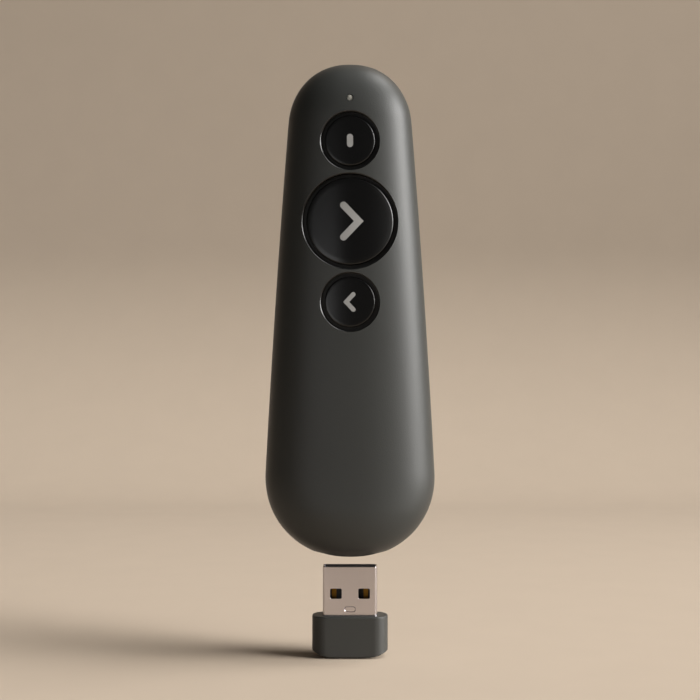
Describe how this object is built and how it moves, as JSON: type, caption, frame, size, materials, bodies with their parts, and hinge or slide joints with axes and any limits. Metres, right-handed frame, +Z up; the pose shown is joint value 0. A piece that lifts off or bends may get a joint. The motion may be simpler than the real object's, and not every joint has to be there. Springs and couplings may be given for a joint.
{
  "type": "presentation remote",
  "caption": "Slim upright handheld presentation remote with round push buttons, a hinged battery door and a small USB receiver that slides into its lower end.",
  "frame": {"origin": "centre of the whole object in X and Y, on the surface under the receiver's plastic end", "axes": "+Z up along the remote, from the receiver to the laser end; -Y is the button face; +X is to the right as the buttons are seen"},
  "size_m": [0.0374, 0.0258, 0.1305],
  "materials": {
    "soft_black": "soft-touch satin",
    "gloss_black": "gloss",
    "silver_grey": "satin",
    "inner_plastic": "moulded",
    "board": "solder mask",
    "chips": "matt",
    "led": "clear",
    "light_pipe": "clear",
    "nickel": "satin plated",
    "brass": "turned",
    "gold": "plated",
    "lens": "clear",
    "window": "tinted clear",
    "cell_jacket": "printed jacket",
    "foam": "matt foam"
  },
  "bodies": {
    "presenter": {"front_shell": "soft_black", "back_shell": "soft_black", "chassis": "inner_plastic", "circuit_board": "board", "board_chips": "chips", "laser_switch": "nickel", "next_switch": "nickel", "previous_switch": "nickel", "status_led": "led", "led_light_pipe": "light_pipe", "laser_barrel": "brass", "laser_diode": "gold", "laser_lens": "lens", "laser_window": "window", "battery_left": "cell_jacket", "battery_right": "cell_jacket", "spring_bottom": "nickel", "spring_top": "nickel", "bridge_contact": "nickel", "contact_plus": "nickel", "contact_minus": "nickel", "receiver_sleeve": "inner_plastic", "sleeve_spring": "nickel", "case_screws": "nickel"},
    "laser_button": {"laser_cap": "gloss_black", "laser_mark": "silver_grey", "laser_plunger": "gloss_black"},
    "next_button": {"next_cap": "gloss_black", "next_mark": "silver_grey", "next_plunger": "gloss_black"},
    "previous_button": {"previous_cap": "gloss_black", "previous_mark": "silver_grey", "previous_plunger": "gloss_black"},
    "door": {"battery_door": "soft_black", "door_pad": "foam"},
    "receiver": {"receiver_housing": "soft_black", "usb_shell": "nickel", "usb_tongue": "inner_plastic", "usb_contacts": "gold", "receiver_board": "board", "receiver_chip": "chips"}
  },
  "joints": [
    {"name": "laser_press", "type": "slide", "parent": "presenter", "child": "laser_button", "axis": [0, 1, 0], "range_m": [0, 0.0005], "stiffness_N_per_m": 400, "springref_m": -0.003},
    {"name": "next_press", "type": "slide", "parent": "presenter", "child": "next_button", "axis": [0, 1, 0], "range_m": [0, 0.0005], "stiffness_N_per_m": 400, "springref_m": -0.003},
    {"name": "previous_press", "type": "slide", "parent": "presenter", "child": "previous_button", "axis": [0, 1, 0], "range_m": [0, 0.0005], "stiffness_N_per_m": 400, "springref_m": -0.003},
    {"name": "battery_door_hinge", "type": "hinge", "parent": "presenter", "child": "door", "pos_m": [0, 0.01204, 0.03957], "axis": [-1, 0, 0], "range_deg": [0, 70]},
    {"name": "receiver_slide", "type": "slide", "parent": "presenter", "child": "receiver", "axis": [0, 0, 1], "range_m": [0, 0.0219]}
  ]
}
